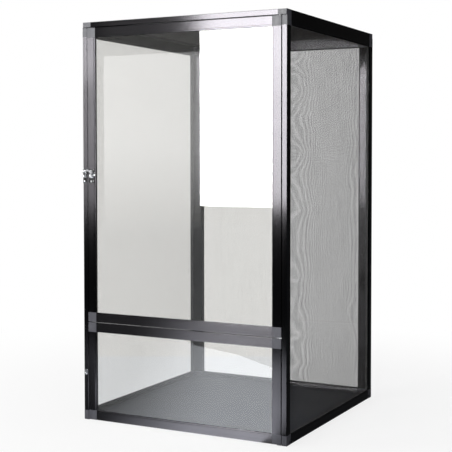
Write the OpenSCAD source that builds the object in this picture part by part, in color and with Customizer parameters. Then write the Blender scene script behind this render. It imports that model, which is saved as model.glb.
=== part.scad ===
// Reptile terrarium: a tall cage of aluminium screen frames with two glazed doors.
// Millimetres. The origin is the middle of the footprint, on the floor.
// +Z is up, the doors face -Y, and +X is to the right of someone facing them.

/* [Cage] */
// Width over the side panels
cage_w = 450; // [350:5:600]
// Depth from the doors' front face to the back panel's rear face
cage_d = 450; // [350:5:600]
// Height from the floor to the top of the lid
cage_h = 800; // [600:5:1000]
// Height of the gap between the lower and the upper door
split_z = 199; // [150:1:300]
// Thickness of the floor board
floor_t = 10; // [6:0.5:14]
// Play between the floor board and the panels round it
board_play = 0.2; // [0.1:0.05:0.5]

/* [Frame bars] */
// Width of a bar's face, lip included
bar_w = 19; // [17:0.5:24]
// Thickness of a bar
bar_t = 10; // [9:0.5:13]
// Width of the lip that a mesh or a pane rests against
lip_w = 3; // [2.6:0.1:4]
// Thickness of the lip, which is also its bead's diameter
lip_t = 1.4; // [1:0.1:2]
// Step from the bar's face back to its lip
lip_step = 1; // [0.4:0.1:1.4]
// Wall of the bar's tube
wall = 1.2; // [0.8:0.1:1.6]
// Rounding of the tube's outer edges
edge_r = 0.6; // [0.2:0.1:1]
// Depth of the channel between the lip and the retaining rib
channel_d = 5; // [4:0.1:5.6]
// How far the retaining rib stands over the channel
rib_w = 0.5; // [0.2:0.1:1]
// Thickness of the retaining rib
rib_t = 0.8; // [0.5:0.1:1]

/* [Corner keys] */
// Length of a key's tongue inside its bar
tongue_l = 26; // [14:1:40]
// Play between a tongue and the inside of the tube
tongue_play = 0.15; // [0.05:0.01:0.3]
// Taper at the tip of a tongue
tongue_taper = 1.5; // [0.5:0.1:3]
// Rounding of a key's outer corner
key_r = 1.5; // [0.5:0.1:3]
// Wall round the two pockets in a tongue
pocket_wall = 2; // [1:0.1:3]
// Floor of the pockets in a tongue
pocket_floor = 1.5; // [0.8:0.1:3]

/* [Mesh and panes] */
// Thickness of the woven wire mesh
mesh_t = 0.6; // [0.3:0.1:1]
// Least spacing of the strands that stand for the mesh's wires
strand_pitch = 60; // [50:1:120]
// Width of those strands
strand_w = 2; // [1:0.5:4]
// Most openings along one side of a mesh
most_openings = 12; // [6:1:12]
// Thickness of the clear panes
pane_t = 3; // [2:0.5:3.5]
// Play round the edge of a mesh or a pane
infill_play = 0.3; // [0.1:0.05:0.5]
// Width of the spline and of the pane gasket
spline_w = 2.2; // [1.6:0.1:2.4]
// Play between the spline and the tube beside it
spline_play = 0.15; // [0.05:0.05:0.25]

/* [Doors] */
// Gap between a door's edge and the side panel at its hinges
side_gap = 1.3; // [1.2:0.05:1.5]
// Gap between a door's edge and the side panel at its latch
latch_gap = 0.6; // [0.4:0.05:1.5]
// Gap between the upper door and the lid
top_gap = 1.5; // [0.8:0.1:3]
// Gap between a pivot plate and the door above or below it
plate_gap = 0.3; // [0.25:0.05:1]
// Gap that the turning corners of a door leave beside and behind them
swing_gap = 0.35; // [0.3:0.05:0.4]

/* [Door pivots] */
// Distance from the doors' front face to the pivots' axis
pivot_depth = 3; // [2.8:0.1:3.2]
// Radius of a pivot pin
pin_r = 1.5; // [1:0.1:1.6]
// Radial play of a pin in its door
pin_play = 0.05; // [0.02:0.01:0.1]
// Radial play of a pin, rivet or screw where it is fixed
fixed_play = 0.02; // [0.01:0.01:0.03]
// Length of a pin inside a door
pin_hold = 7; // [4:0.5:10]
// Length of the upper pin inside the lid
pin_root = 6; // [3:0.5:7]
// Space left past the end of a pin
pin_end_gap = 0.5; // [0.3:0.1:1]
// Thickness of the pivot plates
plate_t = 1; // [0.8:0.1:2]
// Width of a pivot plate under its door
plate_w = 8; // [6:0.5:9]
// Distance from the doors' front face to the front of a pivot plate
plate_inset = 0.6; // [0.2:0.1:1]
// Height of the middle bracket's flange
flange_h = 22; // [16:1:30]
// Width of the middle bracket's flange
flange_w = 4.4; // [4.2:0.1:5.2]
// Spacing of the screws in the middle bracket
flange_pitch = 13; // [10:0.5:16]
// Distance of the bottom plate's first screw behind the front corner keys
plate_screw_inset = 1.5; // [1:0.1:3]
// Spacing of the screws in the bottom plate
plate_pitch = 7; // [6:0.5:9]
// Distance of the bottom plate's end behind its last screw
plate_tail = 4; // [3:0.5:8]
// Radius of a small screw's shank
small_r = 1; // [0.8:0.05:1.2]
// Radius of a small screw's countersunk head
small_head_r = 1.8; // [1.6:0.1:2]
// Length of a small screw's shank
small_l = 6; // [4:0.5:8]

/* [Assembly screws] */
// Radius of an assembly screw's shank
screw_r = 1.5; // [1.2:0.1:1.8]
// Radius of its countersunk head
screw_head_r = 3; // [2.6:0.1:3.4]
// Height of its countersunk head
screw_head_h = 1.6; // [1.2:0.1:2]
// Length of the screw in the second piece
screw_bite = 13; // [8:1:16]
// Distance of the lid's screws from the front and the rear
lid_screw_inset = 12; // [8:0.5:13]

/* [Latch] */
// Height of the latch above the floor
latch_z = 493; // [330:1:560]
// Height of the latch plates
latch_h = 29; // [26:0.5:40]
// Width of the plate on the door
latch_w = 11; // [9.5:0.5:16]
// Width of the plate on the cage
keeper_w = 6.6; // [5.4:0.1:7]
// Distance of that plate's middle from the cage's outer face
keeper_x = 3.8; // [3.5:0.1:5]
// Thickness of the latch plates
latch_t = 1.2; // [0.8:0.1:1.6]
// Rounding of the plates' corners
latch_r = 1.5; // [0.5:0.1:3]
// Distance of the screws from the middle of a plate
latch_pitch = 10.5; // [9.5:0.5:12]
// Radius of the domed screw heads
dome_r = 2.2; // [1.8:0.1:2.6]
// Height of the domed screw heads
dome_h = 0.9; // [0.5:0.1:0.9]
// Radius of the raised boss under the hook
boss_r = 3.6; // [3:0.1:4]
// Height of the raised boss
boss_h = 1.1; // [1:0.1:1.5]
// Thickness of the hook
hook_t = 1.6; // [1:0.1:2.5]
// Gap on either side of the hook
hook_gap = 0.3; // [0.2:0.05:0.5]
// Radius of the hook's hub
hub_r = 4; // [3.2:0.1:4.8]
// Radius of the rivet that the hook turns on
rivet_r = 1.6; // [1.2:0.1:1.8]
// Radius of the rivet's head
rivet_head_r = 3; // [2.4:0.1:3.6]
// Height of the heads of the rivet and of the stud
head_h = 1.5; // [1:0.1:2]
// Width of the hook's arch
arch_w = 3.6; // [2.6:0.1:4.4]
// Radius of the hook's jaw
jaw_r = 4.2; // [3.8:0.1:4.8]
// How far the jaw reaches past the middle of the stud
jaw_reach = 1.6; // [1:0.1:2]
// Play of the stud in the jaw
jaw_play = 0.5; // [0.3:0.05:0.8]
// Radius of the stud's neck
stud_r = 1.6; // [1.2:0.1:1.8]
// Radius of the stud's head
stud_head_r = 2.8; // [2.2:0.1:3]
// Length of the hook's finger tail
tail_l = 9.5; // [8:0.5:14]
// Width of the tail
tail_w = 2.6; // [1.8:0.1:3.4]
// Radius of the tail's round end
tail_r = 2.2; // [1.6:0.1:3]
// Angle of the tail above the line from the stud to the rivet
tail_angle = 37; // [20:1:50]
// Angle of the unhooked arch above its closed place
hook_lift = 22; // [20:1:30]

/* [Turn button] */
// Height of the turn button's pivot above the floor
button_z = 94; // [40:1:110]
// Length of the button from its pivot
button_l = 8.6; // [7:0.1:12]
// Width of the button
button_w = 6; // [5:0.1:8]
// Thickness of the button
button_t = 1.6; // [1:0.1:2.5]
// Gap behind and in front of the button
button_gap = 0.3; // [0.2:0.05:0.5]
// Radius of the button screw's shank
button_screw_r = 1.5; // [1:0.1:1.8]
// Radius of the button screw's head
button_head_r = 2.6; // [2.2:0.1:3]
// Height of the button screw's head
button_head_h = 1.2; // [0.8:0.1:1.6]

/* [Hidden] */
$fn = 64;

// Overlap that lets a cut pass clean through a surface
eps = 0.1;

// Bar section
tube_w = bar_w - lip_w;
lip_back = lip_step + lip_t;
rib_depth = lip_back + channel_d;

// Panels: the sides and the back stand under the lid, the back between the sides
side_h = cage_h - bar_t;
back_w = cage_w - 2 * bar_t;
inner_left = bar_t;
inner_right = cage_w - bar_t;
back_y = cage_d - bar_t;

// Doors and their pivots
door_w = back_w - side_gap - latch_gap;
door_left = bar_t + latch_gap;
door_right = door_left + door_w;
door_gap = plate_t + 2 * plate_gap;
lower_bottom = plate_t + plate_gap;
lower_top = split_z - door_gap / 2;
upper_bottom = split_z + door_gap / 2;
upper_top = side_h - top_gap;
reach = side_gap - swing_gap;
pivot_inset = (pow(pivot_depth, 2) - pow(reach, 2)) / (2 * reach);
pivot_x = door_right - pivot_inset;
rear_sweep = norm([pivot_inset, bar_t - pivot_depth]);
floor_front = pivot_depth + rear_sweep + swing_gap;

// The bracket's flange stands where the doors' rear corners pass beside it
flange_off = inner_right - plate_t - pivot_x;
flange_front = pivot_depth + swing_gap
    + sqrt(pow(rear_sweep, 2) - pow(flange_off, 2));
flange_screw_y = flange_front + flange_w / 2;
plate_screw_y = bar_w + plate_screw_inset;
plate_back = plate_screw_y + plate_pitch + plate_tail;

// Latch, measured from the rivet on the door's stile
latch_x = door_left + bar_w / 2;
hook_reach = latch_x - keeper_x;
hook_back = latch_t + boss_h + hook_gap;
hook_front = hook_back + hook_t;
heads_back = hook_front + hook_gap;
jaw_slot_r = stud_r + jaw_play;
jaw_sweep = 30;

// Height of each screw row in the side panels' lower corner keys
floor_screw_z = floor_t / 2;
floor_screw_y = (floor_front + bar_w) / 2;
rear_screw_y = cage_d - bar_t / 2;
rear_floor_y = cage_d - bar_w + (bar_w - bar_t) / 2;

// ---- places -------------------------------------------------------------

// Everything is laid out from the cage's front left corner on the floor
module centred() {
    translate([-cage_w / 2, -cage_d / 2, 0]) children();
}

// A panel is drawn as seen from outside: width along X, height along Z and
// thickness along +Y into the cage
module on_left() {
    centred() translate([0, cage_d, 0]) rotate([0, 0, -90]) children();
}

module on_right() {
    centred() translate([cage_w, 0, 0]) rotate([0, 0, 90]) children();
}

module on_back() {
    centred() translate([inner_right, cage_d, 0]) rotate([0, 0, 180]) children();
}

module on_top() {
    centred() translate([0, 0, cage_h]) rotate([-90, 0, 0]) children();
}

module on_door(bottom) {
    centred() translate([door_left, 0, bottom]) children();
}

// Turns something drawn along +Z to point out of the front
module facing_front() {
    rotate([90, 0, 0]) children();
}

// A flat outline in X and Z, given depth along +Y
module slab(depth_from, thickness) {
    translate([0, depth_from + thickness, 0]) rotate([90, 0, 0])
        linear_extrude(thickness) children();
}

// ---- frame bars -----------------------------------------------------------

module rounded_rect(size, r) {
    union() {
        translate([r, 0]) square([size.x - 2 * r, size.y]);
        translate([0, r]) square([size.x, size.y - 2 * r]);
        for (x = [r, size.x - r], y = [r, size.y - r])
            translate([x, y]) circle(r = r);
    }
}

// Hollow tube with a beaded lip near its face and a rib that keeps the spline in
module bar_section() {
    difference() {
        union() {
            rounded_rect([tube_w, bar_t], edge_r);
            translate([tube_w - wall, lip_step])
                square([lip_w + wall - lip_t / 2, lip_t]);
            translate([bar_w - lip_t / 2, lip_step + lip_t / 2]) circle(d = lip_t);
            translate([tube_w - wall, rib_depth]) square([wall + rib_w, rib_t]);
        }
        translate([wall, wall])
            square([tube_w - 2 * wall, bar_t - 2 * wall]);
    }
}

module stile(height) {
    color("#242427") translate([0, 0, bar_w])
        linear_extrude(height - 2 * bar_w) bar_section();
}

module far_stile(width, height) {
    translate([width, 0, 0]) mirror([1, 0, 0]) stile(height);
}

module top_rail(width, height) {
    color("#242427") translate([bar_w, 0, height]) rotate([0, 90, 0])
        linear_extrude(width - 2 * bar_w) bar_section();
}

module bottom_rail(width) {
    mirror([0, 0, 1]) top_rail(width, 0);
}

// ---- corner keys ------------------------------------------------------------

// Tongue along +X from the face of the key, with two pockets open to the back
module tongue() {
    tongue_w = tube_w - 2 * (wall + tongue_play);
    tongue_t = bar_t - 2 * (wall + tongue_play);
    pocket_l = (tongue_l - tongue_taper - 3 * pocket_wall) / 2;
    translate([bar_w, wall + tongue_play, wall + tongue_play]) difference() {
        translate([0, tongue_t, 0]) rotate([90, 0, 0]) linear_extrude(tongue_t)
            polygon([
                [0, 0],
                [tongue_l - tongue_taper, 0],
                [tongue_l, tongue_taper],
                [tongue_l, tongue_w - tongue_taper],
                [tongue_l - tongue_taper, tongue_w],
                [0, tongue_w]
            ]);
        for (i = [0, 1])
            translate([
                pocket_wall + i * (pocket_l + pocket_wall),
                pocket_floor,
                pocket_wall
            ])
                cube([pocket_l, tongue_t, tongue_w - 2 * pocket_wall]);
    }
}

module key_block() {
    difference() {
        slab(0, bar_t) union() {
            translate([key_r, 0]) square([bar_w - key_r, bar_w]);
            translate([0, key_r]) square([bar_w, bar_w - key_r]);
            translate([key_r, key_r]) circle(r = key_r);
        }
        translate([tube_w, lip_back, tube_w]) cube([bar_w, bar_t, bar_w]);
    }
}

// Two-way key for the lower left corner of a panel
module corner_key() {
    color("#3d3d41") union() {
        key_block();
        tongue();
        mirror([1, 0, 0]) rotate([0, -90, 0]) tongue();
    }
}

module corner_keys(width, height) {
    for (x = [0, 1], z = [0, 1])
        translate([x * width, 0, z * height])
            mirror([x, 0, 0]) mirror([0, 0, z])
                corner_key();
}

// ---- mesh, panes and the strips that hold them ------------------------------------

module infill(width, height, thickness) {
    inset = tube_w + infill_play;
    translate([inset, lip_back, inset])
        cube([width - 2 * inset, thickness, height - 2 * inset]);
}

function openings(span) = min(most_openings, floor(span / strand_pitch));
function opening(span) = (span + strand_w) / openings(span) - strand_w;

// Mesh with a plain grid of openings, left whole where the bars hold it
module mesh(width, height) {
    span_x = width - 2 * bar_w;
    span_z = height - 2 * bar_w;
    step_x = opening(span_x) + strand_w;
    step_z = opening(span_z) + strand_w;
    color("#5c5c60", 0.5) difference() {
        infill(width, height, mesh_t);
        for (i = [0 : openings(span_x) - 1], j = [0 : openings(span_z) - 1])
            translate([bar_w + i * step_x, lip_back - eps, bar_w + j * step_z])
                cube([opening(span_x), mesh_t + 2 * eps, opening(span_z)]);
    }
}

module pane(width, height) {
    color("#cfe3e6", 0.3) infill(width, height, pane_t);
}

// Four strips that fill the channel between an infill and the retaining rib
module strips(width, height, infill_t) {
    inset = tube_w + spline_play;
    depth = channel_d - infill_t;
    for (x = [inset, width - inset - spline_w])
        translate([x, lip_back + infill_t, inset])
            cube([spline_w, depth, height - 2 * inset]);
    for (z = [inset, height - inset - spline_w])
        translate([inset, lip_back + infill_t, z])
            cube([width - 2 * inset, depth, spline_w]);
}

module spline(width, height) {
    color("#161616") strips(width, height, mesh_t);
}

module gasket(width, height) {
    color("#161616") strips(width, height, pane_t);
}

// ---- screws ------------------------------------------------------------------------

module cross_recess(size, depth) {
    for (a = [0, 90])
        rotate([0, 0, a]) translate([-size / 2, -size / 8, -depth])
            cube([size, size / 4, depth + eps]);
}

// Flush screw with its face at Z = 0 and its shank pointing down
module flat_screw(head_r, head_height, shank_r, length) {
    difference() {
        union() {
            translate([0, 0, -head_height])
                cylinder(r1 = shank_r, r2 = head_r, h = head_height);
            translate([0, 0, -length]) cylinder(r = shank_r, h = length);
        }
        cross_recess(head_r * 1.3, head_height * 0.6);
    }
}

// Room for a flush screw, with its fixed play
module flat_screw_hole(head_r, head_height, shank_r, length) {
    translate([0, 0, -head_height])
        cylinder(r1 = shank_r + fixed_play, r2 = head_r + fixed_play, h = head_height);
    translate([0, 0, -eps]) cylinder(r = head_r + fixed_play, h = 2 * eps);
    translate([0, 0, -length - pin_end_gap])
        cylinder(r = shank_r + fixed_play, h = length + pin_end_gap);
}

// Half lens that stands on Z = 0
module dome(r, height) {
    ball_r = (r * r + height * height) / (2 * height);
    rotate_extrude() intersection() {
        translate([0, height - ball_r]) circle(r = ball_r);
        square([r, height]);
    }
}

// Domed screw that seats at Z = 0 and points down
module domed_screw(head_r, head_height, shank_r, length) {
    difference() {
        union() {
            dome(head_r, head_height);
            translate([0, 0, -length]) cylinder(r = shank_r, h = length);
        }
        translate([0, 0, head_height]) cross_recess(head_r, head_height * 0.6);
    }
}

module lid_screw_places() {
    centred() for (x = [bar_t / 2, cage_w - bar_t / 2])
        for (y = [lid_screw_inset, cage_d - lid_screw_inset])
            translate([x, y, cage_h]) children();
}

// Places on one side panel; side is -1 for the left and 1 for the right
module side_screw_places(side) {
    places = [
        [floor_screw_y, floor_screw_z],
        [rear_floor_y, floor_screw_z],
        [rear_screw_y, bar_w / 2],
        [rear_screw_y, side_h - bar_w / 2]
    ];
    for (p = places)
        translate([side * cage_w / 2, p.x - cage_d / 2, p.y])
            rotate([0, side * 90, 0]) children();
}

module assembly_screw() {
    flat_screw(screw_head_r, screw_head_h, screw_r, bar_t + screw_bite);
}

module assembly_screw_hole() {
    flat_screw_hole(screw_head_r, screw_head_h, screw_r, bar_t + screw_bite);
}

// ---- left panel ---------------------------------------------------------------------

module left_front_stile() {
    difference() {
        on_left() far_stile(cage_d, side_h);
        keeper_screw_places() small_screw_hole();
        button_place() cylinder(r = button_screw_r + fixed_play, h = 2 * bar_t, center = true);
    }
}

module left_rear_stile() {
    on_left() stile(side_h);
}

module left_top_rail() {
    on_left() top_rail(cage_d, side_h);
}

module left_bottom_rail() {
    on_left() bottom_rail(cage_d);
}

module left_corner_keys() {
    difference() {
        on_left() corner_keys(cage_d, side_h);
        side_screw_places(-1) assembly_screw_hole();
        lid_screw_places() assembly_screw_hole();
    }
}

module left_mesh() {
    on_left() mesh(cage_d, side_h);
}

module left_spline() {
    on_left() spline(cage_d, side_h);
}

// ---- right panel -----------------------------------------------------------------------

module right_front_stile() {
    difference() {
        on_right() stile(side_h);
        flange_screw_places() small_screw_hole();
    }
}

module right_rear_stile() {
    on_right() far_stile(cage_d, side_h);
}

module right_top_rail() {
    on_right() top_rail(cage_d, side_h);
}

module right_bottom_rail() {
    on_right() bottom_rail(cage_d);
}

module right_corner_keys() {
    difference() {
        on_right() corner_keys(cage_d, side_h);
        side_screw_places(1) assembly_screw_hole();
        lid_screw_places() assembly_screw_hole();
    }
}

module right_mesh() {
    on_right() mesh(cage_d, side_h);
}

module right_spline() {
    on_right() spline(cage_d, side_h);
}

// ---- back panel ---------------------------------------------------------------------------

// Seen from behind, the panel's first stile is the one on the cage's right
module back_right_stile() {
    on_back() stile(side_h);
}

module back_left_stile() {
    on_back() far_stile(back_w, side_h);
}

module back_top_rail() {
    on_back() top_rail(back_w, side_h);
}

module back_bottom_rail() {
    on_back() bottom_rail(back_w);
}

module back_corner_keys() {
    difference() {
        on_back() corner_keys(back_w, side_h);
        for (side = [-1, 1]) side_screw_places(side) assembly_screw_hole();
    }
}

module back_mesh() {
    on_back() mesh(back_w, side_h);
}

module back_spline() {
    on_back() spline(back_w, side_h);
}

// ---- lid -----------------------------------------------------------------------------------

module lid_left_rail() {
    on_top() stile(cage_d);
}

module lid_right_rail() {
    on_top() far_stile(cage_w, cage_d);
}

module lid_rear_rail() {
    on_top() top_rail(cage_w, cage_d);
}

module lid_front_rail() {
    on_top() bottom_rail(cage_w);
}

module lid_corner_keys() {
    difference() {
        on_top() corner_keys(cage_w, cage_d);
        lid_screw_places() assembly_screw_hole();
        on_pivot(side_h - eps) cylinder(r = pin_r + fixed_play, h = pin_root + eps);
    }
}

module lid_mesh() {
    on_top() mesh(cage_w, cage_d);
}

module lid_spline() {
    on_top() spline(cage_w, cage_d);
}

// ---- floor board ------------------------------------------------------------------------------

module floor_board() {
    color("#5a5b61") difference() {
        centred() translate([inner_left + board_play, floor_front, 0])
            cube([
                back_w - 2 * board_play,
                back_y - board_play - floor_front,
                floor_t
            ]);
        for (side = [-1, 1]) side_screw_places(side) assembly_screw_hole();
        bottom_plate_blank(eps);
        bottom_screw_places()
            cylinder(r = small_r + fixed_play, h = small_l + plate_t + pin_end_gap);
    }
}

// ---- door pivots -------------------------------------------------------------------------------

module on_pivot(z) {
    centred() translate([pivot_x, pivot_depth, z]) children();
}

module pin_bore(z) {
    on_pivot(z) cylinder(r = pin_r + pin_play, h = pin_hold + pin_end_gap);
}

module pivot_pins() {
    color("silver") {
        on_pivot(upper_top - pin_hold)
            cylinder(r = pin_r, h = pin_hold + top_gap + pin_root);
        on_pivot(lower_top - pin_hold)
            cylinder(r = pin_r, h = door_gap + 2 * pin_hold);
        on_pivot(0) cylinder(r = pin_r, h = lower_bottom + pin_hold);
    }
}

module flange_screw_places() {
    centred() for (side = [-1, 1])
        translate([
            inner_right - plate_t,
            flange_screw_y,
            split_z + side * flange_pitch / 2
        ])
            rotate([0, -90, 0]) children();
}

module bottom_screw_places() {
    centred() for (i = [0, 1])
        translate([pivot_x, plate_screw_y + i * plate_pitch, 0]) children();
}

// Tongue between the doors, with a flange that is screwed to the side panel
module middle_pivot_bracket() {
    color("#6d6e72") difference() {
        centred() union() {
            translate([pivot_x - plate_w / 2, plate_inset, split_z - plate_t / 2])
                cube([
                    inner_right - pivot_x + plate_w / 2,
                    flange_front + flange_w - plate_inset,
                    plate_t
                ]);
            translate([inner_right - plate_t, flange_front, split_z - flange_h / 2])
                cube([plate_t, flange_w, flange_h]);
        }
        on_pivot(split_z) cylinder(r = pin_r + fixed_play, h = 2 * plate_t, center = true);
        flange_screw_places()
            flat_screw_hole(small_head_r, plate_t, small_r, small_l);
    }
}

// Plate let in under the floor board, so that the cage stands flat
module bottom_plate_blank(extra) {
    centred() translate([pivot_x - plate_w / 2, plate_inset, -extra])
        cube([plate_w, plate_back - plate_inset, plate_t + extra]);
}

module bottom_pivot_plate() {
    color("#6d6e72") difference() {
        bottom_plate_blank(0);
        on_pivot(0) cylinder(r = pin_r + fixed_play, h = 4 * plate_t, center = true);
        bottom_screw_places() rotate([180, 0, 0])
            flat_screw_hole(small_head_r, plate_t, small_r, small_l);
    }
}

module plate_screw() {
    flat_screw(small_head_r, plate_t, small_r, plate_t + small_l);
}

module pivot_screws() {
    color("#1b1b1d") {
        flange_screw_places() plate_screw();
        bottom_screw_places() rotate([180, 0, 0]) plate_screw();
    }
}

// ---- doors ---------------------------------------------------------------------------------------

module door_stile_at_latch(bottom, top) {
    on_door(bottom) stile(top - bottom);
}

module door_stile_at_hinge(bottom, top) {
    on_door(bottom) far_stile(door_w, top - bottom);
}

module door_keys(bottom, top) {
    difference() {
        on_door(bottom) corner_keys(door_w, top - bottom);
        pin_bore(top - pin_hold - pin_end_gap);
        pin_bore(bottom);
        on_pivot(top - eps) cylinder(r = pin_r + pin_play, h = 2 * eps);
        on_pivot(bottom - eps) cylinder(r = pin_r + pin_play, h = 2 * eps);
    }
}

module upper_latch_stile() {
    difference() {
        door_stile_at_latch(upper_bottom, upper_top);
        latch_screw_places() small_screw_hole();
    }
}

module upper_hinge_stile() {
    door_stile_at_hinge(upper_bottom, upper_top);
}

module upper_top_rail() {
    on_door(upper_bottom) top_rail(door_w, upper_top - upper_bottom);
}

module upper_bottom_rail() {
    on_door(upper_bottom) bottom_rail(door_w);
}

module upper_corner_keys() {
    door_keys(upper_bottom, upper_top);
}

module upper_pane() {
    on_door(upper_bottom) pane(door_w, upper_top - upper_bottom);
}

module upper_gasket() {
    on_door(upper_bottom) gasket(door_w, upper_top - upper_bottom);
}

module lower_latch_stile() {
    door_stile_at_latch(lower_bottom, lower_top);
}

module lower_hinge_stile() {
    door_stile_at_hinge(lower_bottom, lower_top);
}

module lower_top_rail() {
    on_door(lower_bottom) top_rail(door_w, lower_top - lower_bottom);
}

module lower_bottom_rail() {
    on_door(lower_bottom) bottom_rail(door_w);
}

module lower_corner_keys() {
    door_keys(lower_bottom, lower_top);
}

module lower_pane() {
    on_door(lower_bottom) pane(door_w, lower_top - lower_bottom);
}

module lower_gasket() {
    on_door(lower_bottom) gasket(door_w, lower_top - lower_bottom);
}

// ---- latch ------------------------------------------------------------------------------------------

module latch_frame() {
    centred() translate([latch_x, 0, latch_z]) children();
}

module keeper_frame() {
    centred() translate([keeper_x, 0, latch_z]) children();
}

module screw_pair(pitch) {
    for (side = [-1, 1]) translate([0, 0, side * pitch]) children();
}

module keeper_screw_places() {
    keeper_frame() screw_pair(latch_pitch) translate([0, -latch_t, 0])
        facing_front() children();
}

module latch_screw_places() {
    latch_frame() screw_pair(latch_pitch) translate([0, -latch_t, 0])
        facing_front() children();
}

module small_screw() {
    domed_screw(dome_r, dome_h, small_r, small_l);
}

module small_screw_hole() {
    cylinder(r = small_r + fixed_play, h = 2 * (small_l + pin_end_gap), center = true);
}

module plate_outline(width) {
    translate([-width / 2, -latch_h / 2]) rounded_rect([width, latch_h], latch_r);
}

module latch_keeper() {
    color("#c9ccd1") difference() {
        keeper_frame() slab(-latch_t, latch_t) plate_outline(keeper_w);
        keeper_screw_places() small_screw_hole();
        keeper_frame() facing_front()
            cylinder(r = stud_r + fixed_play, h = 4 * latch_t, center = true);
    }
}

// Mushroom stud that the hook's jaw drops over
module keeper_stud() {
    color("#d5d8dc") keeper_frame() facing_front() {
        cylinder(r = stud_r, h = heads_back + eps);
        translate([0, 0, heads_back]) dome(stud_head_r, head_h);
    }
}

module keeper_screws() {
    color("#d5d8dc") keeper_screw_places() small_screw();
}

module latch_plate() {
    color("#c9ccd1") difference() {
        union() {
            latch_frame() slab(-latch_t, latch_t) plate_outline(latch_w);
            latch_frame() facing_front() cylinder(r = boss_r, h = latch_t + boss_h);
        }
        latch_screw_places() small_screw_hole();
        latch_frame() facing_front()
            cylinder(r = rivet_r + fixed_play, h = 4 * hook_front, center = true);
    }
}

module latch_rivet() {
    color("#d5d8dc") latch_frame() facing_front() {
        cylinder(r = rivet_r, h = heads_back + eps);
        translate([0, 0, heads_back]) dome(rivet_head_r, head_h);
    }
}

module latch_plate_screws() {
    color("#d5d8dc") latch_screw_places() small_screw();
}

// Path that the stud's neck takes out of the jaw, as the hook lifts
module jaw_slot() {
    far = 2 * hook_reach;
    translate([-hook_reach, 0]) circle(r = jaw_slot_r);
    intersection() {
        difference() {
            circle(r = hook_reach + jaw_slot_r);
            circle(r = hook_reach - jaw_slot_r);
        }
        polygon([[0, 0], [-far, 0], [-far, -far * tan(jaw_sweep)]]);
    }
}

// Closed hook seen from the front, with its rivet at the origin
module hook_outline() {
    arch_r = hook_reach / 2;
    difference() {
        union() {
            circle(r = hub_r);
            translate([-arch_r, 0]) intersection() {
                difference() {
                    circle(r = arch_r + arch_w / 2);
                    circle(r = arch_r - arch_w / 2);
                }
                translate([-hook_reach, 0]) square([2 * hook_reach, hook_reach]);
            }
            translate([-hook_reach, 0]) intersection() {
                circle(r = jaw_r);
                translate([-jaw_r, -jaw_reach]) square([2 * jaw_r, 2 * jaw_r]);
            }
            rotate(tail_angle) {
                translate([0, -tail_w / 2]) square([tail_l, tail_w]);
                translate([tail_l, 0]) circle(r = tail_r);
            }
        }
        circle(r = rivet_r + pin_play);
        jaw_slot();
    }
}

// The hook is drawn lifted off its stud, as the rest pose has it
module latch_hook() {
    color("#dfe2e6") latch_frame() rotate([0, hook_lift, 0])
        slab(-hook_front, hook_t) hook_outline();
}

// ---- turn button on the cage's left edge ---------------------------------------------------------------

module button_place() {
    centred() translate([bar_t / 2, 0, button_z]) facing_front() children();
}

module turn_button() {
    color("#b9bcc2") button_place() translate([0, 0, button_gap])
        linear_extrude(button_t) difference() {
            union() {
                circle(d = button_w);
                translate([-button_w / 2, 0]) square([button_w, button_l - button_w / 2]);
                translate([0, button_l - button_w / 2]) circle(d = button_w);
            }
            circle(r = button_screw_r + pin_play);
        }
}

module turn_button_screw() {
    seat = button_t + 2 * button_gap;
    color("#d5d8dc") button_place() {
        translate([0, 0, -small_l]) cylinder(r = button_screw_r, h = small_l + seat + eps);
        translate([0, 0, seat]) dome(button_head_r, button_head_h);
    }
}

// ---- assembly screws ---------------------------------------------------------------------------------------

module lid_screws() {
    color("#1b1b1d") lid_screw_places() assembly_screw();
}

module side_screws() {
    color("#1b1b1d") for (side = [-1, 1]) side_screw_places(side) assembly_screw();
}

// ---- nodes ---------------------------------------------------------------------------------------------------

left_front_stile();
left_rear_stile();
left_top_rail();
left_bottom_rail();
left_corner_keys();
left_mesh();
left_spline();
right_front_stile();
right_rear_stile();
right_top_rail();
right_bottom_rail();
right_corner_keys();
right_mesh();
right_spline();
back_left_stile();
back_right_stile();
back_top_rail();
back_bottom_rail();
back_corner_keys();
back_mesh();
back_spline();
lid_left_rail();
lid_right_rail();
lid_front_rail();
lid_rear_rail();
lid_corner_keys();
lid_mesh();
lid_spline();
floor_board();
upper_latch_stile();
upper_hinge_stile();
upper_top_rail();
upper_bottom_rail();
upper_corner_keys();
upper_pane();
upper_gasket();
lower_latch_stile();
lower_hinge_stile();
lower_top_rail();
lower_bottom_rail();
lower_corner_keys();
lower_pane();
lower_gasket();
pivot_pins();
middle_pivot_bracket();
bottom_pivot_plate();
pivot_screws();
latch_keeper();
keeper_stud();
keeper_screws();
latch_plate();
latch_rivet();
latch_plate_screws();
latch_hook();
turn_button();
turn_button_screw();
lid_screws();
side_screws();
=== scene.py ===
"""Tall reptile terrarium: screen-frame walls and lid, a floor board and two glazed doors.

Metres, in the CAD frame: +Z is up, the doors face -Y, the origin is the middle of the footprint.
"""

import math

import bmesh
import bpy
from mathutils import Euler, Matrix, Vector


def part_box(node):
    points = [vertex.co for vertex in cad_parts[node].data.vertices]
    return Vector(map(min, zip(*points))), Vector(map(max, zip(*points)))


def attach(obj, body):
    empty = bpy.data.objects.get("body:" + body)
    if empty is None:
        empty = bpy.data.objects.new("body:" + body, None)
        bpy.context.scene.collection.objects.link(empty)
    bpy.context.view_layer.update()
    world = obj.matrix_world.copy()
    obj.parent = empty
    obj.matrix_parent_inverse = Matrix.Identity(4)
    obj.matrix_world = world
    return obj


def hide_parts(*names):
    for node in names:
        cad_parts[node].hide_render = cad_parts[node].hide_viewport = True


MM = 0.001
WHITE = (1.0, 1.0, 1.0, 1.0)

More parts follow.
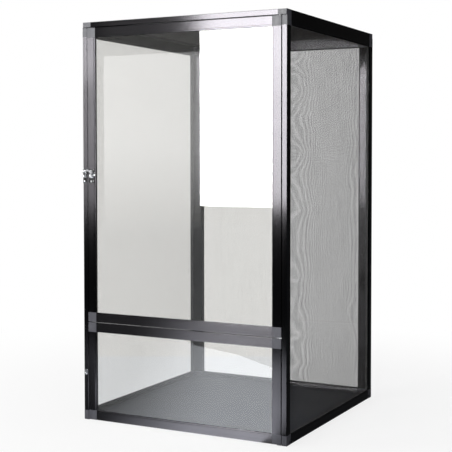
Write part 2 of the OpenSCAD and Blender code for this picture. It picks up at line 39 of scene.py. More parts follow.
# Woven wire screen: warps stand upright, wefts lie level
WARP_PITCH = 1.41 * MM
WEFT_PITCH = 1.59 * MM
WIRE_DIAMETER = 0.24 * MM
WIRE_SIDES = 4
WARP_SEGMENTS = 50
WEFT_SEGMENTS = 16
# Margin in which the frame holds the wires straight
HELD_MARGIN = 0.04
# How far a warp slips off its place, a weft drifts along its length, and both sway together
WIRE_SLIP = 0.06 * MM
WEFT_DRIFT = 0.06 * MM
WIRE_SWAY = 1.2 * MM
# Repeats per metre of the noise behind each of these
WARP_SWAY_NOISE = (7.0, 1.0, 16.0)
WEFT_SWAY_NOISE = (14.0, 1.0, 9.0)
WARP_SLIP_NOISE = (3000.0, 1.0, 14.0)
WEFT_DRIFT_NOISE = (22.0, 1.0, 240.0)
# Seed of the first screen, step to the next, and steps that part slip and drift from sway
FIRST_SEED = 7
SEED_STEP = 10
SLIP_SEED = 5.0
DRIFT_SEED = 9.0
# Noise seldom leaves the middle of its range, so a push is this much larger than its swing
PUSH_GAIN = 4.0

# Drawing lines of a bar, in repeats per metre
LINES_ALONG = 1.5
LINES_ACROSS = 1400.0

# Rounded edges
MERGE_DISTANCE = 0.000002
FLAT_ANGLE = math.radians(1.0)
SHARP_ANGLE = math.radians(35)
KEY_ROUNDING = 0.4 * MM
KEY_SEGMENTS = 2
# CAD node, piece, body, slot, finish and width of the rounding
ROUNDED_METAL = (
    ("latch_hook", "swing_hook", "hook", "latch_chrome", "hook", 0.45 * MM),
    ("latch_plate", "door_latch_plate", "upper_door", "latch_chrome", "chrome", 0.2 * MM),
    ("latch_keeper", "cage_latch_plate", "cabinet", "latch_chrome", "chrome", 0.2 * MM),
    ("turn_button", "lower_door_button", "button", "button_zinc", "zinc", 0.3 * MM),
)
PANEL_BODIES = (
    ("left", "cabinet"), ("right", "cabinet"), ("back", "cabinet"), ("lid", "cabinet"),
    ("upper", "upper_door"), ("lower", "lower_door"),
)

# Finish of a CAD piece by the end of its name; bars have their own, the rest are bright screws
FINISH_OF_ENDING = {
    "corner_keys": "key",
    "_mesh": "wire",
    "_pane": "pane",
    "_spline": "rubber",
    "_gasket": "rubber",
    "floor_board": "floor",
    "pivot_pins": "steel",
    "pivot_bracket": "steel",
    "pivot_plate": "steel",
    "pivot_screws": "black_screw",
    "lid_screws": "black_screw",
    "side_screws": "black_screw",
    "turn_button": "zinc",
    "turn_button_screw": "zinc",
    "latch_plate": "chrome",
    "latch_keeper": "chrome",
}

# Camera
CAMERA_PLACE = (1.0169, -1.9575, 0.5306)
CAMERA_YAW = 27.03
CAMERA_PITCH = -2.06
CAMERA_LENS = 83.39
CAMERA_SENSOR = 36.0
CAMERA_SHIFT = (-0.035, -0.0686)
CAMERA_CLIP = (0.05, 60.0)

# Lamps: foot and head are shares of the power, reached over full of the lamp's height
SOFTBOX = {"middle": (-1.044, -2.725, 0.80), "size": (0.638, 0.99), "power": 48.0,
           "foot": 0.75, "head": 1.3}
SIDE_LAMP = {"middle": (-2.15, -1.85, 1.25), "size": (0.8, 0.75), "power": 33.0, "turn": -50.0}
REFLECTOR = {"middle": (-1.632, -2.73, 0.585), "size": (0.54, 0.87), "power": 2.3,
             "foot": 0.0, "head": 1.0, "full": 0.5}

# Room: level of what mirrors see, by how far a direction turns to the backdrop
BACKDROP_SIDE = (-0.454, 0.891, 0.0)
BACKDROP_TINT = (1.0, 0.985, 0.955)
ROOM_START = (0.30, 0.04)
ROOM_BETWEEN = ((0.58, 0.02), (0.90, 0.04))
ROOM_END = (0.965, 1.0)
# Upward share of a direction over which the ceiling brightens, and its full level
CEILING_RISE = (0.35, 0.9)
CEILING_LEVEL = 0.5
FILL_LEVEL = 0.55

# Table and papers
TABLE_TINT = (0.98, 0.99, 1.0)
TABLE_EDGE = 0.57
TABLE_EDGE_BLEND = 0.01
# Painted reflection: tint of a glow that only mirrored rays see on the floor and the paper
PAINTED_REFLECTION_TINT = (0.90, 0.94, 1.0, 1.0)
FLOOR_SPAN = 6.0
FLOOR_LEVEL = -0.0006
# Low and high levels of the painted reflection glow on the floor
FLOOR_PAINTED_REFLECTION = (0.04, 0.04)
PAPER_LEVEL = -0.0003
# Low and high levels of the painted reflection glow on the paper
PAPER_PAINTED_REFLECTION = (0.15, 4.4)
PAPER_OUTLINE = (
    (-1.6, -1.5), (-0.745, -1.14), (-0.508, -1.105), (-0.439, -1.049), (-0.258, -0.973),
    (-0.108, -0.861), (-0.05, -0.78), (0.1, -0.5), (0.17, -0.3), (0.17, -0.21), (-1.6, -0.21),
)
# Direction in which the painted reflection glow on a paper brightens, and the stretch over which
# it does
PAPER_PAINTED_REFLECTION_DIRECTION = (0.9, -0.43, 0.0)
PAPER_PAINTED_REFLECTION_RISE = (-0.10, 0.16)
# Share of white in what a camera sees of a paper, near the terrarium and away from it, and the
# distances between which it changes
CAMERA_SHARE = (0.8, 1.0)
CAMERA_SHARE_REACH = (0.3, 1.2)


# ---- node helpers -----------------------------------------------------------


def add(tree, kind, **settings):
    """New node with the given settings."""
    made = tree.nodes.new(kind)
    for key, value in settings.items():
        setattr(made, key, value)
    return made


def fill(tree, socket, value):
    """Plain value for a socket, or a link from another socket."""
    if isinstance(value, (int, float, tuple)):
        socket.default_value = value
    else:
        tree.links.new(value, socket)


def number(tree, operation, first, second=0.0, **settings):
    made = add(tree, "ShaderNodeMath", operation=operation, **settings)
    fill(tree, made.inputs[0], first)
    fill(tree, made.inputs[1], second)
    return made.outputs["Value"]


def vector(tree, x=0.0, y=0.0, z=0.0):
    made = add(tree, "ShaderNodeCombineXYZ")
    for socket, value in zip(made.inputs, (x, y, z)):
        fill(tree, socket, value)
    return made.outputs["Vector"]


def split(tree, source):
    made = add(tree, "ShaderNodeSeparateXYZ")
    tree.links.new(source, made.inputs["Vector"])
    return made.outputs


def vector_math(tree, operation, first, second=None):
    """Vector made of first and second, or the number of a dot product or a length."""
    made = add(tree, "ShaderNodeVectorMath", operation=operation)
    fill(tree, made.inputs[0], first)
    if second is not None:
        fill(tree, made.inputs["Scale" if operation == "SCALE" else 1], second)
    return made.outputs["Value" if operation in ("DOT_PRODUCT", "LENGTH") else "Vector"]


def spread(tree, factor, low, high, start=0.3, end=0.7, smooth=False):
    """Number between low and high as factor runs from start to end."""
    made = add(tree, "ShaderNodeMapRange",
               interpolation_type="SMOOTHSTEP" if smooth else "LINEAR")
    made.inputs["From Min"].default_value = start
    made.inputs["From Max"].default_value = end
    made.inputs["To Min"].default_value = low
    made.inputs["To Max"].default_value = high
    tree.links.new(factor, made.inputs["Value"])
    return made.outputs["Result"]


def grey(level):
    return (level, level, level)


def ramp(tree, factor, dark, light, low=0.3, high=0.7, between=()):
    """Colour between dark and light as factor runs from low to high, through what lies between."""
    made = add(tree, "ShaderNodeValToRGB")
    stops = made.color_ramp.elements
    stops[0].position, stops[0].color = low, (*dark, 1.0)
    stops[1].position, stops[1].color = high, (*light, 1.0)
    for position, tone in between:
        stops.new(position).color = (*tone, 1.0)
    tree.links.new(factor, made.inputs["Fac"])
    return made.outputs["Color"]


def mix_colours(tree, factor, first, second, blend_type="MIX"):
    made = add(tree, "ShaderNodeMix", data_type="RGBA", blend_type=blend_type)
    fill(tree, made.inputs["Factor"], factor)
    fill(tree, made.inputs["A"], first)
    fill(tree, made.inputs["B"], second)
    return made.outputs["Result"]


def mix_shaders(tree, factor, first, second):
    made = add(tree, "ShaderNodeMixShader")
    for socket, source in zip(made.inputs, (factor, first, second)):
        tree.links.new(source, socket)
    return made.outputs["Shader"]


def glowing(tree, kind, tint, strength=1.0):
    """Emission or background of a tint and a strength."""
    made = add(tree, "ShaderNode" + kind)
    fill(tree, made.inputs["Color"], tint)
    fill(tree, made.inputs["Strength"], strength)
    return made.outputs[kind]


def ray_kinds(tree):
    """Sockets that are 1 for camera rays, for mirrored rays and for transmitted rays."""
    path = add(tree, "ShaderNodeLightPath")
    return (path.outputs["Is Camera Ray"], path.outputs["Is Glossy Ray"],
            path.outputs["Is Transmission Ray"])


def object_noise(tree, repeats, detail, roughness=0.5, turn=(0.0, 0.0, 0.0)):
    """Noise in object coordinates, with repeats per metre for each axis or for all three."""
    place = add(tree, "ShaderNodeTexCoord")
    mapping = add(tree, "ShaderNodeMapping")
    mapping.inputs["Scale"].default_value = (
        repeats if isinstance(repeats, tuple) else (repeats, repeats, repeats))
    mapping.inputs["Rotation"].default_value = turn
    tree.links.new(place.outputs["Object"], mapping.inputs["Vector"])
    made = add(tree, "ShaderNodeTexNoise")
    made.inputs["Scale"].default_value = 1.0
    made.inputs["Detail"].default_value = detail
    made.inputs["Roughness"].default_value = roughness
    tree.links.new(mapping.outputs["Vector"], made.inputs["Vector"])
    return made.outputs["Fac"]


def bump(tree, surface, height, strength, distance):
    made = add(tree, "ShaderNodeBump")
    made.inputs["Strength"].default_value = strength
    made.inputs["Distance"].default_value = distance
    tree.links.new(height, made.inputs["Height"])
    tree.links.new(made.outputs["Normal"], surface.inputs["Normal"])


# ---- finishes ---------------------------------------------------------------


def start_material(name):
    material = bpy.data.materials.new(name)
    material.use_nodes = True
    tree = material.node_tree
    return material, tree, tree.nodes["Principled BSDF"]


def settle(tree, surface, tone, roughness, metallic=None):
    """Colour and roughness of a surface, and how metallic it is."""
    tree.links.new(tone, surface.inputs["Base Color"])
    fill(tree, surface.inputs["Roughness"], roughness)
    if metallic is not None:
        surface.inputs["Metallic"].default_value = metallic


def anodised_bar(name, grain):
    """Black anodised aluminium whose drawing lines run along grain."""
    material, tree, surface = start_material(name)
    repeats = tuple(LINES_ALONG if part else LINES_ACROSS for part in grain)
    lines = object_noise(tree, repeats, detail=4.0, roughness=0.65)
    clouds = object_noise(tree, 9.0, detail=2.0)
    tone = mix_colours(tree, 1.0,
                       ramp(tree, lines, (0.053, 0.051, 0.055), (0.078, 0.075, 0.080)),
                       ramp(tree, clouds, grey(0.86), grey(1.0)), "MULTIPLY")
    settle(tree, surface, tone, spread(tree, lines, 0.155, 0.215), metallic=1.0)
    bump(tree, surface, lines, strength=0.2, distance=0.00002)
    surface.inputs["Anisotropic"].default_value = 0.96
    surface.inputs["Anisotropic Rotation"].default_value = 0.25
    turned = add(tree, "ShaderNodeVectorTransform", vector_type="VECTOR",
                 convert_from="OBJECT", convert_to="WORLD")
    tree.links.new(vector(tree, *grain), turned.inputs["Vector"])
    tree.links.new(turned.outputs["Vector"], surface.inputs["Tangent"])
    return material


def moulded_key_plastic():
    material, tree, surface = start_material("moulded_key_plastic")
    flow = object_noise(tree, (60.0, 60.0, 25.0), detail=3.0)
    settle(tree, surface, ramp(tree, flow, (0.040, 0.040, 0.049), (0.062, 0.062, 0.074)),
           spread(tree, flow, 0.26, 0.42))
    bump(tree, surface, object_noise(tree, 1800.0, detail=2.0), strength=0.2, distance=0.00006)
    return material


def screen_wire():
    material, tree, surface = start_material("dark_screen_wire")
    tint = object_noise(tree, 40.0, detail=4.0)
    settle(tree, surface, ramp(tree, tint, (0.020, 0.018, 0.017), (0.038, 0.035, 0.033)),
           spread(tree, tint, 0.34, 0.48), metallic=0.3)
    return material


def clear_pane():
    """Clear sheet; its shadow rays pass straight through."""
    material, tree, surface = start_material("clear_pane")
    wipe = object_noise(tree, (14.0, 14.0, 5.0), detail=3.0)
    settle(tree, surface, ramp(tree, wipe, (0.975, 0.985, 0.982), (0.99, 0.995, 0.993)),
           spread(tree, wipe, 0.0, 0.006, start=0.45, end=0.8))
    surface.inputs["Transmission Weight"].default_value = 1.0
    surface.inputs["IOR"].default_value = 1.58
    clear = add(tree, "ShaderNodeBsdfTransparent")
    clear.inputs["Color"].default_value = (0.93, 0.95, 0.945, 1.0)
    shadow_ray = add(tree, "ShaderNodeLightPath").outputs["Is Shadow Ray"]
    shown = mix_shaders(tree, shadow_ray, surface.outputs["BSDF"], clear.outputs["BSDF"])
    tree.links.new(shown, tree.nodes["Material Output"].inputs["Surface"])
    return material


def spline_rubber():
    material, tree, surface = start_material("black_spline_rubber")
    bloom = object_noise(tree, 90.0, detail=4.0)
    settle(tree, surface, ramp(tree, bloom, (0.016, 0.016, 0.017), (0.030, 0.030, 0.031)),
           spread(tree, bloom, 0.55, 0.75))
    bump(tree, surface, bloom, strength=0.3, distance=0.0002)
    return material


def floor_plastic():
    """Dark grey satin board with faint rubbed marks."""
    material, tree, surface = start_material("dark_floor_board")
    cloud = object_noise(tree, (7.0, 9.0, 7.0), detail=5.0, roughness=0.6)
    rub = object_noise(tree, (55.0, 12.0, 20.0), detail=4.0, turn=(0.0, 0.0, 0.6))
    tone = mix_colours(tree, 1.0,
                       ramp(tree, cloud, (0.013, 0.015, 0.021), (0.022, 0.025, 0.034)),
                       ramp(tree, rub, grey(1.0), grey(1.35), low=0.55, high=0.8), "MULTIPLY")
    settle(tree, surface, tone, spread(tree, cloud, 0.55, 0.70))
    surface.inputs["Specular IOR Level"].default_value = 0.3
    bump(tree, surface, object_noise(tree, 900.0, detail=2.0), strength=0.06, distance=0.0001)
    return material


def plain_steel():
    material, tree, surface = start_material("plain_pivot_steel")
    lines = object_noise(tree, (700.0, 60.0, 60.0), detail=3.0)
    settle(tree, surface, ramp(tree, lines, (0.40, 0.40, 0.41), (0.54, 0.54, 0.55)),
           spread(tree, lines, 0.28, 0.42), metallic=1.0)
    return material


def black_screw_steel():
    material, tree, surface = start_material("black_screw_steel")
    oxide = object_noise(tree, 800.0, detail=3.0)
    settle(tree, surface, ramp(tree, oxide, (0.018, 0.018, 0.020), (0.042, 0.042, 0.045)),
           spread(tree, oxide, 0.30, 0.45), metallic=0.7)
    bump(tree, surface, oxide, strength=0.2, distance=0.00005)
    return material


def plated_metal(name, dark, light, rough):
    """Bright plate with fine hairlines, about as rough as given."""
    material, tree, surface = start_material(name)
    film = object_noise(tree, 260.0, detail=3.0)
    hairs = object_noise(tree, (2500.0, 300.0, 90.0), detail=2.0, turn=(0.0, 0.5, 0.0))
    settle(tree, surface, ramp(tree, film, dark, light),
           spread(tree, hairs, rough * 0.7, rough * 1.5), metallic=1.0)
    bump(tree, surface, hairs, strength=0.1, distance=0.00002)
    return material


def make_finishes():
    return {
        "key": moulded_key_plastic(),
        "wire": screen_wire(),
        "pane": clear_pane(),
        "rubber": spline_rubber(),
        "floor": floor_plastic(),
        "steel": plain_steel(),
        "black_screw": black_screw_steel(),
        "zinc": plated_metal("zinc_plate", (0.52, 0.53, 0.55), (0.66, 0.67, 0.69), 0.22),
        "chrome": plated_metal("latch_chrome", (0.74, 0.75, 0.76), (0.84, 0.85, 0.86), 0.05),
        "hook": plated_metal("bright_hook_metal", (0.66, 0.67, 0.69), (0.76, 0.77, 0.79), 0.17),
        "screw": plated_metal("bright_screw_metal", (0.88, 0.88, 0.90), (0.95, 0.95, 0.97), 0.40),
    }


# ---- wire screens -----------------------------------------------------------


def freedom_of_wires(tree, given):
    """0 where the frame holds a wire, rising to 1 past the held margin."""
    place = split(tree, add(tree, "GeometryNodeInputPosition").outputs["Position"])
    free = 1.0
    for axis, size in (("X", "Width"), ("Z", "Height")):
        gap = number(tree, "SUBTRACT", number(tree, "MULTIPLY", given[size], 0.5),
                     number(tree, "ABSOLUTE", place[axis]))
        free = number(tree, "MULTIPLY",
                      spread(tree, gap, 0.0, 1.0, 0.0, HELD_MARGIN, smooth=True), free)
    return free


def push_of_wires(tree, given, free, repeats, size, seed_step=0.0):
    """Smooth random push on free wires, up to about size each way."""
    place = add(tree, "GeometryNodeInputPosition").outputs["Position"]
    made = add(tree, "ShaderNodeTexNoise", noise_dimensions="4D")
    made.inputs["Scale"].default_value = 1.0
    made.inputs["Detail"].default_value = 1.0
    fill(tree, made.inputs["W"], number(tree, "ADD", given["Seed"], seed_step))
    fill(tree, made.inputs["Vector"], vector_math(tree, "MULTIPLY", place, repeats))
    swing = vector_math(tree, "SUBTRACT", made.outputs["Color"], grey(0.5))
    reach = number(tree, "MULTIPLY", size, number(tree, "MULTIPLY", free, PUSH_GAIN))
    return vector_math(tree, "SCALE", swing, reach)


def straight_wires(tree, given, across, along, level):
    """Wires along one side of the field, spread evenly across the other."""
    radius = number(tree, "MULTIPLY", given["Wire"], 0.5)
    pitch = given["Weft Pitch" if level else "Warp Pitch"]
    fitting = number(tree, "FLOOR", number(tree, "DIVIDE", given[across], pitch))
    count = number(tree, "ADD", fitting, 1.0)
    step = number(tree, "DIVIDE", given[across], count)
    first = number(tree, "SUBTRACT", number(tree, "MULTIPLY", step, 0.5),
                   number(tree, "MULTIPLY", given[across], 0.5))
    depth = number(tree, "MULTIPLY", radius, 1.0 if level else -1.0)
    line = add(tree, "GeometryNodeMeshLine", mode="OFFSET")
    fill(tree, line.inputs["Count"], count)
    fill(tree, line.inputs["Start Location"],
         vector(tree, 0.0, depth, first) if level else vector(tree, first, depth))
    fill(tree, line.inputs["Offset"], vector(tree, z=step) if level else vector(tree, x=step))
    wire = add(tree, "GeometryNodeMeshCylinder")
    fill(tree, wire.inputs["Vertices"], WIRE_SIDES)
    fill(tree, wire.inputs["Side Segments"], WEFT_SEGMENTS if level else WARP_SEGMENTS)
    fill(tree, wire.inputs["Radius"], radius)
    fill(tree, wire.inputs["Depth"], given[along])
    hung = add(tree, "GeometryNodeInstanceOnPoints")
    fill(tree, hung.inputs["Points"], line.outputs["Mesh"])
    fill(tree, hung.inputs["Instance"], wire.outputs["Mesh"])
    if level:
        fill(tree, hung.inputs["Rotation"], (0.0, math.pi / 2, 0.0))
    real = add(tree, "GeometryNodeRealizeInstances")
    fill(tree, real.inputs["Geometry"], hung.outputs["Instances"])
    return real.outputs["Geometry"]


def pushed_wires(tree, given, free, wires, level):
    """The wires swayed, slipped and drifted within the plane of the screen."""
    if level:
        sway = push_of_wires(tree, given, free, WEFT_SWAY_NOISE, given["Sway"])
        own = push_of_wires(tree, given, free, WEFT_DRIFT_NOISE, given["Weft Drift"], DRIFT_SEED)
    else:
        sway = push_of_wires(tree, given, free, WARP_SWAY_NOISE, given["Sway"])
        own = push_of_wires(tree, given, free, WARP_SLIP_NOISE, given["Slip"], SLIP_SEED)
    flat = vector_math(tree, "MULTIPLY", vector_math(tree, "ADD", sway, own), (1.0, 0.0, 1.0))
    moved = add(tree, "GeometryNodeSetPosition")
    fill(tree, moved.inputs["Geometry"], wires)
    fill(tree, moved.inputs["Offset"], flat)
    return moved.outputs["Geometry"]


def wire_screen_tree():
    """Two layers of wires over a Width by Height field in the XZ plane.

    Each wire sits a little off its pitch and drifts along its length, but runs straight
    where the frame holds it.
    """
    tree = bpy.data.node_groups.new("wire_screen", "GeometryNodeTree")
    face = tree.interface
    face.new_socket("Geometry", in_out="INPUT", socket_type="NodeSocketGeometry")
    for name in ("Width", "Height", "Warp Pitch", "Weft Pitch", "Wire", "Slip",
                 "Weft Drift", "Sway"):
        face.new_socket(name, in_out="INPUT", socket_type="NodeSocketFloat")
    face.new_socket("Seed", in_out="INPUT", socket_type="NodeSocketInt")
    face.new_socket("Finish", in_out="INPUT", socket_type="NodeSocketMaterial")
    face.new_socket("Geometry", in_out="OUTPUT", socket_type="NodeSocketGeometry")
    given = add(tree, "NodeGroupInput").outputs
    free = freedom_of_wires(tree, given)
    join = add(tree, "GeometryNodeJoinGeometry")
    for across, along, level in (("Width", "Height", False), ("Height", "Width", True)):
        wires = straight_wires(tree, given, across, along, level)
        tree.links.new(pushed_wires(tree, given, free, wires, level), join.inputs["Geometry"])
    smooth = add(tree, "GeometryNodeSetShadeSmooth")
    whole = add(tree, "GeometryNodeRealizeInstances")
    finish = add(tree, "GeometryNodeSetMaterial")
    tree.links.new(given["Finish"], finish.inputs["Material"])
    chain = (join, smooth, whole, finish, add(tree, "NodeGroupOutput"))
    for source, target in zip(chain, chain[1:]):
        tree.links.new(source.outputs["Geometry"], target.inputs["Geometry"])
    return tree


def grow(name, tree, values, place):
    """Mesh object made by a tree with the named values, moved into its place."""
    host = bpy.data.objects.new(name + "_host", bpy.data.meshes.new(name + "_host"))
    bpy.context.scene.collection.objects.link(host)
    modifier = host.modifiers.new("made", "NODES")
    modifier.node_group = tree
    for item in tree.interface.items_tree:
        if item.in_out == "INPUT" and item.name in values:
            modifier[item.identifier] = values[item.name]
    host.update_tag()
    bpy.context.view_layer.update()
    graph = bpy.context.evaluated_depsgraph_get()
    mesh = bpy.data.meshes.new_from_object(host.evaluated_get(graph), depsgraph=graph)
    mesh.name = name
    mesh.transform(place)
    bpy.data.objects.remove(host)
    made = bpy.data.objects.new(name, mesh)
    bpy.context.scene.collection.objects.link(made)
    return made


def hang_wire_screen(node, tree, finish, seed):
    """Wire screen in the place of one panel's mesh, cut across the roll for the back."""
    low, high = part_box(node)
    middle, size = (low + high) / 2, high - low
    thin = min(range(3), key=lambda axis: size[axis])
    warp, weft = WARP_PITCH, WEFT_PITCH
    if thin == 0:
        width, height, turn = size.y, size.z, Matrix.Rotation(math.pi / 2, 4, "Z")
    elif thin == 1:
        warp, weft = weft, warp
        width, height, turn = size.x, size.z, Matrix.Identity(4)
    else:
        width, height, turn = size.x, size.y, Matrix.Rotation(math.pi / 2, 4, "X")
    values = {"Width": width, "Height": height, "Warp Pitch": warp, "Weft Pitch": weft,
              "Wire": WIRE_DIAMETER, "Slip": WIRE_SLIP, "Weft Drift": WEFT_DRIFT,
              "Sway": WIRE_SWAY, "Seed": seed, "Finish": finish}
    screen = grow(node.replace("_mesh", "_wire_screen"), tree, values,
                  Matrix.Translation(middle) @ turn)
    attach(screen, "cabinet")
    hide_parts(node)


# ---- rounded pieces -----------------------------------------------------------


def keep_flats(mesh):
    """Normals that lean to the larger faces, so that flats stay flat between rounded edges."""
    sums = [Vector() for _ in mesh.vertices]
    for face in mesh.polygons:
        for index in face.vertices:
            sums[index] += face.normal * face.area
    mesh.normals_split_custom_set_from_vertices([total.normalized() for total in sums])


def soften(nodes, node, name, body, finish, width, segments=3):
    """Copy of a CAD piece with its edges rounded over, in the same place."""
    shape = bmesh.new()
    shape.from_mesh(nodes[node].data)
    bmesh.ops.remove_doubles(shape, verts=shape.verts, dist=MERGE_DISTANCE)
    bmesh.ops.dissolve_limit(shape, angle_limit=FLAT_ANGLE, verts=shape.verts, edges=shape.edges)
    bmesh.ops.recalc_face_normals(shape, faces=shape.faces)
    sharp = [edge for edge in shape.edges
             if len(edge.link_faces) == 2 and edge.calc_face_angle(0.0) > SHARP_ANGLE]
    bmesh.ops.bevel(shape, geom=sharp, offset=width, segments=segments,
                    profile=0.5, affect="EDGES", clamp_overlap=True)
    for face in shape.faces:
        face.smooth = True
    mesh = bpy.data.meshes.new(name)
    shape.to_mesh(mesh)
    shape.free()
    keep_flats(mesh)
    mesh.materials.append(finish)
    piece = bpy.data.objects.new(name, mesh)
    bpy.context.scene.collection.objects.link(piece)
    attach(piece, body)
    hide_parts(node)


# ---- studio -------------------------------------------------------------------


def place_camera():
    data = bpy.data.cameras.new("camera")
    data.lens = CAMERA_LENS
    data.sensor_width = CAMERA_SENSOR
    data.shift_x, data.shift_y = CAMERA_SHIFT
    data.clip_start, data.clip_end = CAMERA_CLIP
    camera = bpy.data.objects.new("camera", data)
    camera.location = CAMERA_PLACE
    camera.rotation_euler = Euler((math.radians(90 + CAMERA_PITCH), 0.0,
                                   math.radians(CAMERA_YAW)))
    bpy.context.scene.collection.objects.link(camera)
    bpy.context.scene.camera = camera


def hang_lamp(name, middle, size, power, turn=0.0, foot=1.0, head=1.0, full=1.0):
    """Upright rectangular lamp, from foot to head times its power over full of its height."""
    data = bpy.data.lights.new(name, "AREA")
    data.shape = "RECTANGLE"
    data.size, data.size_y = size
    data.energy = power
    data.use_nodes = True
    tree = data.node_tree
    place = add(tree, "ShaderNodeNewGeometry").outputs["Parametric"]
    tree.links.new(spread(tree, split(tree, place)["Y"], foot, head, 0.0, full),
                   tree.nodes["Emission"].inputs["Strength"])
    lamp = bpy.data.objects.new(name, data)
    lamp.location = middle
    lamp.rotation_euler = Euler((math.radians(90), 0.0, math.radians(turn)))
    lamp.visible_camera = False
    bpy.context.scene.collection.objects.link(lamp)


def hang_lamps():
    """Tall softbox that the panes and bars mirror, a lamp and a dim reflector on its left."""
    hang_lamp("softbox", **SOFTBOX)
    hang_lamp("side_lamp", **SIDE_LAMP)
    hang_lamp("reflector", **REFLECTOR)


def wrap_in_studio():
    """White backdrop behind the terrarium, a dim room in front, even fill light."""
    world = bpy.data.worlds.new("studio")
    bpy.context.scene.world = world
    world.use_nodes = True
    world.cycles.sampling_method = "NONE"
    tree = world.node_tree
    tree.nodes.clear()
    camera_ray, glossy_ray, through_ray = ray_kinds(tree)
    towards = add(tree, "ShaderNodeTexCoord").outputs["Generated"]
    walls = ramp(tree, vector_math(tree, "DOT_PRODUCT", towards, BACKDROP_SIDE),
                 grey(ROOM_START[1]), grey(ROOM_END[1]), ROOM_START[0], ROOM_END[0],
                 [(position, grey(level)) for position, level in ROOM_BETWEEN])
    ceiling = spread(tree, split(tree, towards)["Z"], 0.0, CEILING_LEVEL, *CEILING_RISE,
                     smooth=True)
    room = glowing(tree, "Background", WHITE, number(tree, "MAXIMUM", walls, ceiling))
    fill_light = glowing(tree, "Background", WHITE, FILL_LEVEL)
    behind = mix_colours(tree, through_ray, WHITE, (*BACKDROP_TINT, 1.0))
    backdrop = glowing(tree, "Background", behind)
    seen = number(tree, "MAXIMUM", camera_ray, through_ray)
    unseen = mix_shaders(tree, glossy_ray, fill_light, room)
    tree.links.new(mix_shaders(tree, seen, unseen, backdrop),
                   add(tree, "ShaderNodeOutputWorld").inputs["Surface"])


def paper_with_painted_reflection(name, painted_reflection_levels):
    """Pale matt paper; cameras see it nearly white, and mirrors see a painted reflection on it, a
    glow from dim to bright.
    """
    material, tree, surface = start_material(name)
    fibre = object_noise(tree, 300.0, detail=3.0)
    settle(tree, surface, ramp(tree, fibre, grey(0.85), grey(0.88)), 0.9)
    camera_ray, glossy_ray, through_ray = ray_kinds(tree)
    place = add(tree, "ShaderNodeTexCoord").outputs["Object"]
    beyond = spread(tree, vector_math(tree, "DOT_PRODUCT", place, BACKDROP_SIDE), 0.0, 1.0,
                    TABLE_EDGE, TABLE_EDGE + TABLE_EDGE_BLEND)
    table = ramp(tree, beyond, TABLE_TINT, BACKDROP_TINT, 0.0, 1.0)
    glow = glowing(tree, "Emission", mix_colours(tree, through_ray, WHITE, table))
    share = spread(tree, vector_math(tree, "LENGTH", place), *CAMERA_SHARE, *CAMERA_SHARE_REACH,
                   smooth=True)
    lit = number(tree, "MAXIMUM", number(tree, "MULTIPLY", camera_ray, share), through_ray)
    seen = mix_shaders(tree, lit, surface.outputs["BSDF"], glow)
    across = vector_math(tree, "DOT_PRODUCT", place, PAPER_PAINTED_REFLECTION_DIRECTION)
    # Painted reflection: in place of its lit surface, mirrored rays see a glow that brightens
    # across the sheet
    level = spread(tree, across, *painted_reflection_levels, *PAPER_PAINTED_REFLECTION_RISE, smooth=True)
    painted_reflection_glow = glowing(tree, "Emission", PAINTED_REFLECTION_TINT, level)
    only_mirrored = number(tree, "SUBTRACT", glossy_ray, through_ray, use_clamp=True)
    tree.links.new(mix_shaders(tree, only_mirrored, seen, painted_reflection_glow),
                   tree.nodes["Material Output"].inputs["Surface"])
    return material


def lay_sheet(name, outline, height, painted_reflection_levels):
    mesh = bpy.data.meshes.new(name)
    mesh.from_pydata([(x, y, height) for x, y in outline], [], [tuple(range(len(outline)))])
    mesh.materials.append(paper_with_painted_reflection(name, painted_reflection_levels))
    sheet = bpy.data.objects.new(name, mesh)
    bpy.context.scene.collection.objects.link(sheet)


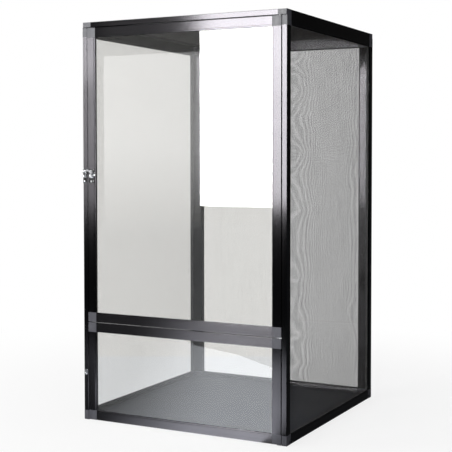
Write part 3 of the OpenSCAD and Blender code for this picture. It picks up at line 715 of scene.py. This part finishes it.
def lay_studio_floor():
    """Pale floor, with a paper in front of the doors whose painted reflection glow the lower pane
    mirrors.
    """
    corners = [(side * FLOOR_SPAN, end * FLOOR_SPAN)
               for side, end in ((-1, 1), (-1, -1), (1, -1), (1, 1))]
    lay_sheet("studio_floor", corners, FLOOR_LEVEL, FLOOR_PAINTED_REFLECTION)
    lay_sheet("front_paper", PAPER_OUTLINE, PAPER_LEVEL, PAPER_PAINTED_REFLECTION)


# ---- terrarium ----------------------------------------------------------------


def grain_of(node):
    """Axis along which a bar was drawn."""
    low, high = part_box(node)
    size = high - low
    longest = max(range(3), key=lambda axis: size[axis])
    return tuple(1.0 if axis == longest else 0.0 for axis in range(3))


def finish_kind(name):
    for ending, kind in FINISH_OF_ENDING.items():
        if name.endswith(ending):
            return kind
    return "screw"


def finish_nodes(nodes, finishes):
    """Every CAD piece gets the finish of its kind, and a bar the one of its direction."""
    bars = {}
    for name, piece in nodes.items():
        if name.endswith(("_stile", "_rail")):
            grain = grain_of(name)
            if grain not in bars:
                axis = "xyz"[grain.index(1.0)]
                bars[grain] = anodised_bar("black_anodised_bar_" + axis, grain)
            finish = bars[grain]
        else:
            finish = finishes[finish_kind(name)]
        for slot in piece.material_slots:
            slot.material = finish


def dress(nodes):
    """Finishes, wire screens and rounded pieces over the CAD frame."""
    finishes = make_finishes()
    finish_nodes(nodes, finishes)
    tree = wire_screen_tree()
    for order, node in enumerate(("left_mesh", "right_mesh", "back_mesh", "lid_mesh")):
        hang_wire_screen(node, tree, finishes["wire"], FIRST_SEED + SEED_STEP * order)
    for node, name, body, slot, finish, width in ROUNDED_METAL:
        soften(nodes, node, name, body, finishes[finish], width)
    for panel, body in PANEL_BODIES:
        soften(nodes, panel + "_corner_keys", panel + "_rounded_keys", body,
               finishes["key"], KEY_ROUNDING, KEY_SEGMENTS)


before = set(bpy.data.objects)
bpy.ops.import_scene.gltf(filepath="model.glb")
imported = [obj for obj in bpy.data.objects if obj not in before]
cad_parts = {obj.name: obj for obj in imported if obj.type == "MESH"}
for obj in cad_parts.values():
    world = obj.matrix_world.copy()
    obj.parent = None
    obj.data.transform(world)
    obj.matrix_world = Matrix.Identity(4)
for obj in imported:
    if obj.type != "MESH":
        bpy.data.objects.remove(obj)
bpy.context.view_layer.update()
place_camera()
wrap_in_studio()
hang_lamps()
lay_studio_floor()
dress(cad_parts)
bpy.context.scene.view_settings.view_transform = "Standard"
